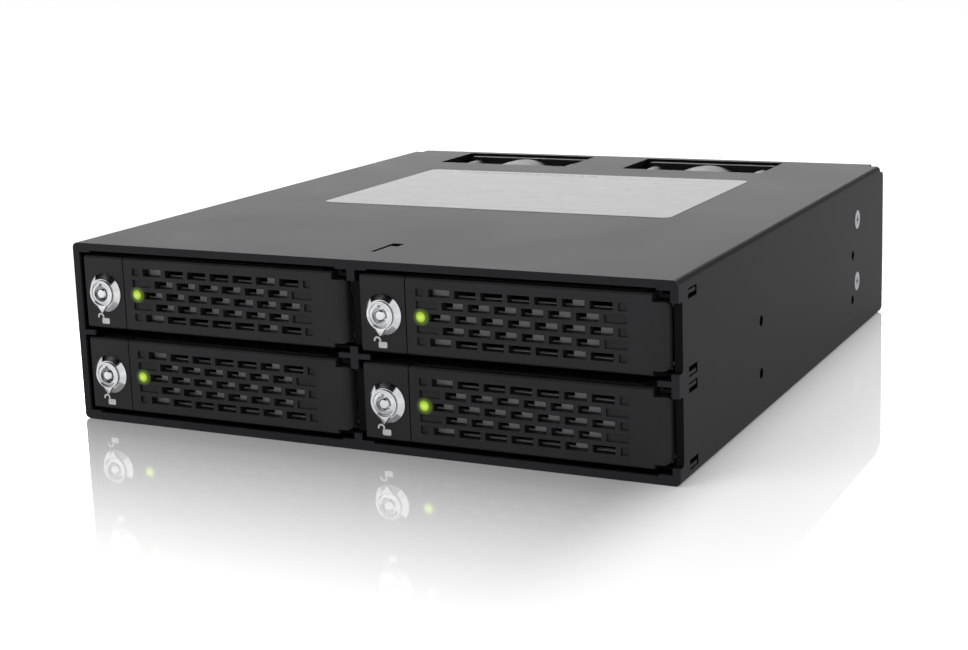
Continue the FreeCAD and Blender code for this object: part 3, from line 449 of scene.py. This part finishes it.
def growMarks(name, points, tree, values, material):
    seedMesh = bpy.data.meshes.new(name + "Points")
    seedMesh.from_pydata([tuple(p) for p in points], [], [])
    holder = addObject(name + "Holder", seedMesh)
    modifier = holder.modifiers.new("marks", "NODES")
    modifier.node_group = tree
    given = {"Turn": 0.0, "Shortest": 1.0, "Seed": 3, "Finish": material}
    given.update(values)
    for socket in tree.interface.items_tree:
        if socket.in_out == "INPUT" and socket.name in given:
            modifier[socket.identifier] = given[socket.name]
    shown = holder.evaluated_get(bpy.context.evaluated_depsgraph_get())
    mesh = bpy.data.meshes.new_from_object(shown)
    bpy.data.objects.remove(holder)
    return addObject(name, mesh)


weldMm = 0.001  # corners nearer to each other than this are one


def looseParts(name):
    # lowest and highest corner of each separate solid of a CAD node
    work = bmesh.new()
    work.from_mesh(nodes[name].data)
    bmesh.ops.remove_doubles(work, verts=work.verts, dist=weldMm * mm)
    waiting = set(work.verts)
    parts = []
    while waiting:
        front = [waiting.pop()]
        found = list(front)
        while front:
            for edge in front.pop().link_edges:
                for vert in edge.verts:
                    if vert in waiting:
                        waiting.remove(vert)
                        front.append(vert)
                        found.append(vert)
        low = Vector([min(v.co[i] for v in found) for i in range(3)])
        high = Vector([max(v.co[i] for v in found) for i in range(3)])
        parts.append((low, high))
    work.free()
    return sorted(parts, key=lambda part: tuple(part[0]))


recess = {"lengthMm": 2.2, "widthMm": 0.42, "depthMm": 0.04, "shades": ("#2c2c2e", "#3c3c3e"),
          "rough": (0.5, 0.6)}


def screwRecessShades():
    # painted shade: thin dark crosses laid on the screw heads stand for the shade in cross recesses that are
    # not cut
    shadow = turnedSteel("recessShadow", *recess["shades"], recess["rough"])
    sizes = {"Length": recess["lengthMm"] * mm, "Depth": recess["depthMm"] * mm,
             "Width": recess["widthMm"] * mm}
    sidePoints = []
    for low, high in looseParts("side_screws"):
        faceX = low.x if low.x < 0 else high.x
        sidePoints.append((faceX, (low.y + high.y) / 2, (low.z + high.z) / 2))
    boardPoints = [((low.x + high.x) / 2, low.y, (low.z + high.z) / 2)
                   for low, high in looseParts("board_screws")]
    fanPoints = [((low.x + high.x) / 2, high.y, (low.z + high.z) / 2)
                 for low, high in looseParts("fan_screws")]
    sideways = dict(sizes, Turn=math.radians(90))
    sets = (("sideScrewRecessShades", sidePoints, sideways, "nickel_screw"),
            ("boardScrewRecessShades", boardPoints, sizes, "nickel_screw"),
            ("fanScrewRecessShades", fanPoints, sizes, "dark_screw"))
    for name, points, values, slot in sets:
        piece = growMarks(name, points, crossTree, values, shadow)
        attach(piece, "cage")


screwRecessShades()
print("screw recesses made")


contact = {"pitchMm": 1.27, "widthMm": 0.65, "thickMm": 0.08, "powerCount": 15, "dataCount": 7,
           "socketLongMm": 4.2, "portLongMm": 5.0, "socketWallMm": 3.0, "powerSlotMm": 21.5, "keyMm": 2.5,
           "dataSlotMm": 12.5, "slotHeightMm": 2.2, "bladeTopMm": 0.9, "bladeSetbackMm": 1.0,
           "socketInsetMm": 0.3, "portInsetMm": 0.2}


def contactRow(middleX, y, z, count):
    first = middleX - (count - 1) * contact["pitchMm"] / 2 * mm
    return [(first + index * contact["pitchMm"] * mm, y, z) for index in range(count)]


def connectorContacts():
    gold = goldFlash()
    sizes = {"Length": contact["widthMm"] * mm, "Width": contact["thickMm"] * mm}
    socketPoints = []
    for low, high in looseParts("drive_sockets"):
        z = (low.z + high.z) / 2 - (contact["slotHeightMm"] - contact["thickMm"]) / 2 * mm
        y = low.y + (contact["socketInsetMm"] + contact["socketLongMm"] / 2) * mm
        powerX = low.x + (contact["socketWallMm"] + contact["powerSlotMm"] / 2) * mm
        dataX = low.x + (contact["socketWallMm"] + contact["powerSlotMm"] + contact["keyMm"]
                         + contact["dataSlotMm"] / 2) * mm
        socketPoints += contactRow(powerX, y, z, contact["powerCount"])
        socketPoints += contactRow(dataX, y, z, contact["dataCount"])
    portPoints = []
    for node, count in (("data_ports", contact["dataCount"]), ("power_ports", contact["powerCount"])):
        for low, high in looseParts(node):
            z = (low.z + high.z) / 2 + (contact["bladeTopMm"] + contact["thickMm"] / 2) * mm
            y = high.y - (contact["bladeSetbackMm"] + contact["portInsetMm"]
                          + contact["portLongMm"] / 2) * mm
            portPoints += contactRow((low.x + high.x) / 2, y, z, count)
    rows = (("socketContacts", socketPoints, contact["socketLongMm"]),
            ("portContacts", portPoints, contact["portLongMm"]))
    for name, points, length in rows:
        piece = growMarks(name, points, barTree, dict(sizes, Depth=length * mm), gold)
        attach(piece, "cage")


connectorContacts()
print("contacts made")


def roundedCorners(x0, x1, y0, y1, radius, steps=6):
    # outline of a rectangle with round corners
    points = []
    for cx, cy, start in ((x1 - radius, y0 + radius, -90), (x1 - radius, y1 - radius, 0),
                          (x0 + radius, y1 - radius, 90), (x0 + radius, y0 + radius, 180)):
        for step in range(steps + 1):
            angle = math.radians(start + 90 * step / steps)
            points.append((cx + radius * math.cos(angle), cy + radius * math.sin(angle)))
    return points


def slab(outlines, thick, toSpace):
    # closed outlines (a, b) given a thickness, then brought into place
    work = bmesh.new()
    for outline in outlines:
        lower = [work.verts.new(toSpace(a, b, 0.0)) for a, b in outline]
        upper = [work.verts.new(toSpace(a, b, thick)) for a, b in outline]
        work.faces.new(list(reversed(lower)))
        work.faces.new(upper)
        for index in range(len(outline)):
            after = (index + 1) % len(outline)
            work.faces.new((lower[index], lower[after], upper[after], upper[index]))
    bmesh.ops.recalc_face_normals(work, faces=work.faces)
    mesh = bpy.data.meshes.new("slab")
    work.to_mesh(mesh)
    work.free()
    return mesh


lock = {"steps": 144, "smoothDegrees": 34, "weldMm": 0.0005, "edgeMm": 0.12,
        "boreMm": 2.35, "faceMm": 3.3, "bulgeMm": 0.03, "bulgeSteps": 8, "bulgeLean": 0.6,
        "flangeMm": 0.25, "bezelMm": 1.1, "barrelMm": 3.4,
        "headMm": 3.1, "headThickMm": 0.4, "plugMm": 2.3, "stemMm": 1.2, "stemLongMm": 1.0,
        "ridgeMm": 0.08, "dishMm": (2.48, 2.62, 0.3), "keyOuterMm": 1.85, "keyInnerMm": 1.15,
        "keyDeepMm": 1.7, "keyEdges": 2, "notchMm": 0.8, "notchTopMm": 2.05,
        "pointerMm": (1.35, 2.7, 4.6), "tipMm": 4.38,
        "rimEdges": ((1.6, 0.0), (0.5, 0.4), (0.0, 1.6))}  # in and down, in parts of edgeMm


def turned(name, rings, x, z):
    # rings of radius and depth, either one a rule of the angle, joined one to the next
    work = bmesh.new()
    rows = []
    for radius, depth in rings:
        row = []
        for step in range(lock["steps"]):
            angle = 2 * math.pi * step / lock["steps"]
            out = radius(angle) if callable(radius) else radius
            y = depth(angle) if callable(depth) else depth
            row.append(work.verts.new((x + out * math.cos(angle), y, z + out * math.sin(angle))))
        rows.append(row)
    for inner, outer in zip(rows, rows[1:]):
        for step in range(lock["steps"]):
            work.faces.new((inner[step], inner[step - 1], outer[step - 1], outer[step]))
    bmesh.ops.remove_doubles(work, verts=work.verts, dist=lock["weldMm"] * mm)
    bmesh.ops.recalc_face_normals(work, faces=work.faces)
    mesh = bpy.data.meshes.new(name)
    work.to_mesh(mesh)
    work.free()
    mesh.shade_smooth()
    mesh.set_sharp_from_angle(angle=math.radians(lock["smoothDegrees"]))
    mesh.materials.append(chrome)
    return addObject(name, mesh)


def lockCollar(number):
    low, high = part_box("lock_collar_" + str(number))
    outer = (high.x - low.x) / 2
    bore, face, barrel, edge = (lock[key] * mm for key in ("boreMm", "faceMm", "barrelMm", "edgeMm"))
    seat = low.y + lock["bezelMm"] * mm
    flange = seat - lock["flangeMm"] * mm
    rings = [(bore, low.y + edge), (bore + edge, low.y)]
    for step in range(lock["bulgeSteps"] + 1):
        share = step / lock["bulgeSteps"]
        bulge = math.sin(math.pi * share) * lock["bulgeMm"] * mm * lock["bulgeLean"]
        rings.append((face + (outer - face) * share + bulge, low.y + (flange - low.y) * share - bulge))
    rings = [(min(out, outer), max(y, low.y)) for out, y in rings]
    rings += [(outer, seat), (barrel, seat), (barrel, high.y), (bore, high.y), (bore, low.y + edge)]
    return turned("lockCollar_" + str(number), rings, (low.x + high.x) / 2, (low.z + high.z) / 2)


def lockCylinder(number):
    low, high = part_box("lock_cylinder_" + str(number))
    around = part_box("lock_collar_" + str(number))
    middle = (around[0] + around[1]) / 2
    head, plug, stem, edge = (lock[key] * mm for key in ("headMm", "plugMm", "stemMm", "edgeMm"))
    side, root, tip = (value * mm for value in lock["pointerMm"])
    outerKey, innerKey, notchTop = (lock[key] * mm for key in ("keyOuterMm", "keyInnerMm", "notchTopMm"))
    floor = low.y + lock["keyDeepMm"] * mm
    ridge = low.y + lock["ridgeMm"] * mm
    dishStart, dishEnd, dishDeep = (value * mm for value in lock["dishMm"])
    back = low.y + lock["headThickMm"] * mm
    camY = high.y - lock["stemLongMm"] * mm

    def outline(inset):  # round head drawn out below into the pointer
        def radius(angle):
            across, down = abs(math.cos(angle)), -math.sin(angle)
            out = head
            if down > 0:
                out = max(out, min(side * tip / (across * (tip - root) + side * down), lock["tipMm"] * mm))
            return out - inset
        return radius

    def keyFloor(angle):
        inNotch = math.sin(angle) > 0 and abs(math.cos(angle)) * outerKey < lock["notchMm"] / 2 * mm
        return floor if inNotch else ridge

    soft = edge * lock["keyEdges"]
    rings = [(0, ridge), (innerKey - soft, ridge), (innerKey, ridge + soft), (innerKey, floor),
             (outerKey, floor), (outerKey, keyFloor), (notchTop, keyFloor), (notchTop, ridge),
             (dishStart, low.y + dishDeep), (dishEnd, low.y + dishDeep), (dishEnd, low.y + edge),
             (dishEnd + edge, low.y)]
    rings += [(outline(edge * inward), low.y + edge * down) for inward, down in lock["rimEdges"]]
    rings += [(outline(0), back), (plug, back), (plug, camY), (stem, camY), (stem, high.y), (0, high.y)]
    return turned("lockCylinder_" + str(number), rings, middle.x, middle.z)


for number in trayNumbers:
    for piece, node, body in ((lockCollar(number), "lock_collar_", "tray_"),
                              (lockCylinder(number), "lock_cylinder_", "lock_")):
        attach(piece, body + str(number))
        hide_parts(node + str(number))
print("locks made")


label = {"leftMm": -47.3, "rightMm": 46.6, "frontMm": 66.0, "rearMm": 126.1, "cornerMm": 2.0, "thickMm": 0.1,
         "borderMm": 4.6, "lineMm": 0.35, "inkMm": 0.02, "ruleColumns": 3, "ruleLongMm": 22.0,
         "ruleHighMm": 0.7, "rulePitchMm": 3.6, "ruleStart": 1.2, "ruleShortest": 0.35, "ruleSeed": 11,
         "dashCount": 13, "dashLongMm": 3.6, "dashHighMm": 0.9, "dashFrom": 0.08, "dashSpan": 0.5,
         "dashUp": 0.4, "dashShortest": 0.3, "dashSeed": 5, "splitShare": 0.45,
         "paleInk": ("#a2a2a2", "#adadad"), "darkInk": ("#6c6c6c", "#787878")}


def roofLabel():
    low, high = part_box("housing_shell")
    roof = high.z
    x0, x1 = label["leftMm"] * mm, label["rightMm"] * mm
    y0, y1 = low.y + label["frontMm"] * mm, low.y + label["rearMm"] * mm
    mesh = slab([roundedCorners(x0, x1, y0, y1, label["cornerMm"] * mm)], label["thickMm"] * mm,
                lambda a, b, c: (a, b, roof + c))
    film = addObject("roofLabel", mesh)
    film.data.materials.append(labelFilm())
    top = roof + label["thickMm"] * mm
    paleInk = printInk("paleLabelInk", *label["paleInk"])
    darkInk = printInk("darkLabelInk", *label["darkInk"])
    border, line = label["borderMm"] * mm, label["lineMm"] * mm
    a0, a1, b0, b1 = x0 + border, x1 - border, y0 + border, y1 - border
    middle = (a0 + a1) / 2
    split = b0 + (b1 - b0) * label["splitShare"]
    strips = [(a0, a1, b0, b0 + line), (a0, a1, b1 - line, b1), (a0, a0 + line, b0 + line, b1 - line),
              (a1 - line, a1, b0 + line, b1 - line), (a0 + line, a1 - line, split, split + line),
              (middle, middle + line, b0 + line, split)]
    outlines = [[(p, r), (q, r), (q, s), (p, s)] for p, q, r, s in strips]
    frameMesh = slab(outlines, label["inkMm"] * mm, lambda a, b, c: (a, b, top + c))
    frames = addObject("labelFrames", frameMesh)
    frames.data.materials.append(paleInk)
    points = []
    rowCount = int((b1 - split) / (label["rulePitchMm"] * mm)) - 1
    for column in range(label["ruleColumns"]):
        x = a0 + (a1 - a0) * (column + 0.5) / label["ruleColumns"]
        for row in range(rowCount):
            y = split + (row + label["ruleStart"]) * label["rulePitchMm"] * mm
            points.append((x, y, top + label["inkMm"] / 2 * mm))
    rules = growMarks("labelRules", points, barTree, {
        "Length": label["ruleLongMm"] * mm, "Depth": label["ruleHighMm"] * mm,
        "Width": label["inkMm"] * mm, "Shortest": label["ruleShortest"], "Seed": label["ruleSeed"]}, paleInk)
    dashes = []
    for index in range(label["dashCount"]):
        share = label["dashFrom"] + label["dashSpan"] * index / label["dashCount"]
        dashes.append((a0 + (a1 - a0) * share, b1 + border * label["dashUp"], top + label["inkMm"] / 2 * mm))
    heads = growMarks("labelDashes", dashes, barTree, {
        "Length": label["dashLongMm"] * mm, "Depth": label["dashHighMm"] * mm,
        "Width": label["inkMm"] * mm, "Shortest": label["dashShortest"], "Seed": label["dashSeed"]}, darkInk)
    for piece in (film, frames, rules, heads):
        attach(piece, "cage")


roofLabel()
print("label made")


padlock = {"leftMm": 3.95, "sillMm": 1.0, "widthMm": 2.05, "heightMm": 1.3, "cornerMm": 0.28,
           "shackleXmm": -0.27, "shackleRiseMm": 0.25, "outerMm": 0.88, "innerMm": 0.48, "inkMm": 0.03,
           "bowSteps": 18, "legInMm": 0.1, "legGapMm": 0.05, "ink": ("#bcbcbc", "#cccccc")}


def padlockMarks():
    # an open padlock under each lock: its body, and the bow standing free at the left
    ink = printInk("paleGreyInk", *padlock["ink"])
    angles = [math.pi * step / padlock["bowSteps"] for step in range(padlock["bowSteps"] + 1)]
    legIn, legGap = padlock["legInMm"] * mm, padlock["legGapMm"] * mm
    for number in trayNumbers:
        low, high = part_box("tray_front_" + str(number))
        x0 = low.x + padlock["leftMm"] * mm
        z0 = low.z + padlock["sillMm"] * mm
        x1, z1 = x0 + padlock["widthMm"] * mm, z0 + padlock["heightMm"] * mm
        body = roundedCorners(x0, x1, z0, z1, padlock["cornerMm"] * mm)
        cx = x0 + padlock["shackleXmm"] * mm
        cz = z1 + padlock["shackleRiseMm"] * mm
        outer, inner = padlock["outerMm"] * mm, padlock["innerMm"] * mm
        bow = [(cx + outer, z1 - legIn)]
        bow += [(cx + outer * math.cos(a), cz + outer * math.sin(a)) for a in angles]
        bow += [(cx - outer, z1 + legGap), (cx - inner, z1 + legGap)]
        bow += [(cx + inner * math.cos(a), cz + inner * math.sin(a)) for a in reversed(angles)]
        bow += [(cx + inner, z1 - legIn)]
        face = low.y
        mesh = slab([body, bow], padlock["inkMm"] * mm, lambda a, b, c: (a, face - c, b))
        mark = addObject("padlockMark_" + str(number), mesh)
        mark.data.materials.append(ink)
        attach(mark, "tray_" + str(number))


padlockMarks()
print("padlock marks made")


studio = {"floorM": 8.0, "floorColour": "#f4f4f4", "floorRough": 0.03, "floorLift": 0.34,
          "floorGapMm": 0.05, "worldLevel": 0.72, "polish": 0.68, "polishMm": 78.0, "sidePolish": 0.24,
          "sideMm": (-14.0, 12.0)}  # the polish weakens between these distances past the right side


def shownRays(tree):
    # 1 for what is seen directly, in a mirror or through glass
    rays = addNode(tree, "ShaderNodeLightPath").outputs
    seen = rays["Is Camera Ray"]
    for kind in ("Is Glossy Ray", "Is Transmission Ray"):
        seen = maths(tree, "MAXIMUM", seen, rays[kind])
    return seen


def floorAndWorld():
    low, high = cadBounds
    half = studio["floorM"] / 2
    mesh = bpy.data.meshes.new("floor")
    corners = [(-half, -half), (half, -half), (half, half), (-half, half)]
    mesh.from_pydata([(a, b, low.z - studio["floorGapMm"] * mm) for a, b in corners], [], [(0, 1, 2, 3)])
    floor = addObject("floor", mesh)
    # white sheet, polished only near the object: the polish wears off with the distance from it
    material, tree, shader, place = newMaterial("whiteFloor", {
        "Specular IOR Level": 0.0, "Roughness": studio["floorRough"], "Emission Color": (1.0, 1.0, 1.0, 1.0),
        "Base Color": linear(studio["floorColour"])})
    reach = vectorMaths(tree, "ABSOLUTE", place)
    outside = vectorMaths(tree, "SUBTRACT", reach, (high.x, high.y, 0.0))
    outside = vectorMaths(tree, "MAXIMUM", outside, (0.0, 0.0, 0.0))
    away = vectorMaths(tree, "LENGTH", outside, output="Value")
    shine = addNode(tree, "ShaderNodeMapRange", {
        "From Max": studio["polishMm"] * mm, "To Min": studio["polish"], "To Max": 0.0},
        {"Value": away}).outputs[0]
    across = addNode(tree, "ShaderNodeSeparateXYZ", links={"Vector": place}).outputs["X"]
    weaker = addNode(tree, "ShaderNodeMapRange", {
        "interpolation_type": "SMOOTHSTEP", "From Min": high.x + studio["sideMm"][0] * mm,
        "From Max": high.x + studio["sideMm"][1] * mm, "To Min": 1.0, "To Max": studio["sidePolish"]},
        {"Value": across}).outputs[0]
    shine = maths(tree, "MULTIPLY", shine, weaker)
    tree.links.new(shine, shader.inputs["Metallic"])
    plain = spread(tree, shine, studio["floorLift"], 0.0)
    lift = maths(tree, "MULTIPLY", shownRays(tree), plain)
    tree.links.new(lift, shader.inputs["Emission Strength"])
    mesh.materials.append(material)
    world = bpy.data.worlds.new("studio")
    bpy.context.scene.world = world
    world.use_nodes = True
    tree = world.node_tree
    tree.nodes.clear()
    level = spread(tree, shownRays(tree), studio["worldLevel"], 1.0)
    sky = addNode(tree, "ShaderNodeBackground", {"Color": (1.0, 1.0, 1.0, 1.0)}, {"Strength": level})
    addNode(tree, "ShaderNodeOutputWorld", links={"Surface": sky.outputs[0]})


cardLook = {"edgesM": (-1.5, 0.2, -1.0, 0.45), "highM": 0.55, "colour": "#0e0e0e", "rough": 0.9}


def darkCard():
    # black card above the left of the object, seen only in mirror reflections
    x0, x1, y0, y1 = cardLook["edgesM"]
    mesh = bpy.data.meshes.new("darkCard")
    corners = [(x0, y0), (x1, y0), (x1, y1), (x0, y1)]
    mesh.from_pydata([(a, b, cardLook["highM"]) for a, b in corners], [], [(0, 1, 2, 3)])
    card = addObject("darkCard", mesh)
    mesh.materials.append(newMaterial("matBlackCard", {
        "Base Color": linear(cardLook["colour"]), "Roughness": cardLook["rough"],
        "Specular IOR Level": 0.0})[0])
    card.visible_camera = card.visible_diffuse = card.visible_shadow = card.visible_transmission = False


boxes = {  # where each stands and what it is aimed at, in metres, then its size and its watts
    "keyBox": ((-0.6, -0.75, 0.75), (0, 0, 0.02), (0.7, 0.5), 2.8),
    "fillBox": ((1.0, -0.3, 0.4), (0, 0, 0.02), (0.6, 0.5), 0.1),
    "rearBox": ((-0.6, 1.05, 0.4), (0, 0, 0.04), (1.2, 0.35), 6.0)}


def softBox(name, place, target, size, watts):
    data = bpy.data.lights.new(name, "AREA")
    data.shape = "RECTANGLE"
    data.size, data.size_y = size
    data.energy = watts
    box = bpy.data.objects.new(name, data)
    bpy.context.scene.collection.objects.link(box)
    box.location = place
    box.rotation_euler = (Vector(target) - Vector(place)).to_track_quat("-Z", "Y").to_euler()


shot = {"azimuth": 25.27, "elevation": 10.64, "roll": -1.67, "distanceMm": 432.8,
        "targetMm": (3.1, 0.0, 28.6),
        "lensMm": 63.81446, "sensorMm": 36.0, "shift": (-0.0475, -0.0775), "clipM": (0.01, 50.0)}


def camera():
    azimuth, elevation = math.radians(shot["azimuth"]), math.radians(shot["elevation"])
    back = Vector((math.sin(azimuth) * math.cos(elevation), -math.cos(azimuth) * math.cos(elevation),
                   math.sin(elevation)))
    data = bpy.data.cameras.new("camera")
    data.sensor_width = shot["sensorMm"]
    data.lens = shot["lensMm"]
    data.shift_x, data.shift_y = shot["shift"]
    data.clip_start, data.clip_end = shot["clipM"]
    eye = bpy.data.objects.new("camera", data)
    bpy.context.scene.collection.objects.link(eye)
    eye.location = Vector(shot["targetMm"]) * mm + back * shot["distanceMm"] * mm
    level = (-back).to_track_quat("-Z", "Y")
    eye.rotation_mode = "QUATERNION"
    eye.rotation_quaternion = level @ Matrix.Rotation(math.radians(shot["roll"]), 3, "Z").to_quaternion()
    bpy.context.scene.camera = eye


floorAndWorld()
darkCard()
for name, values in boxes.items():
    softBox(name, *values)
camera()
bpy.context.scene.view_settings.view_transform = "Standard"
print("studio made")
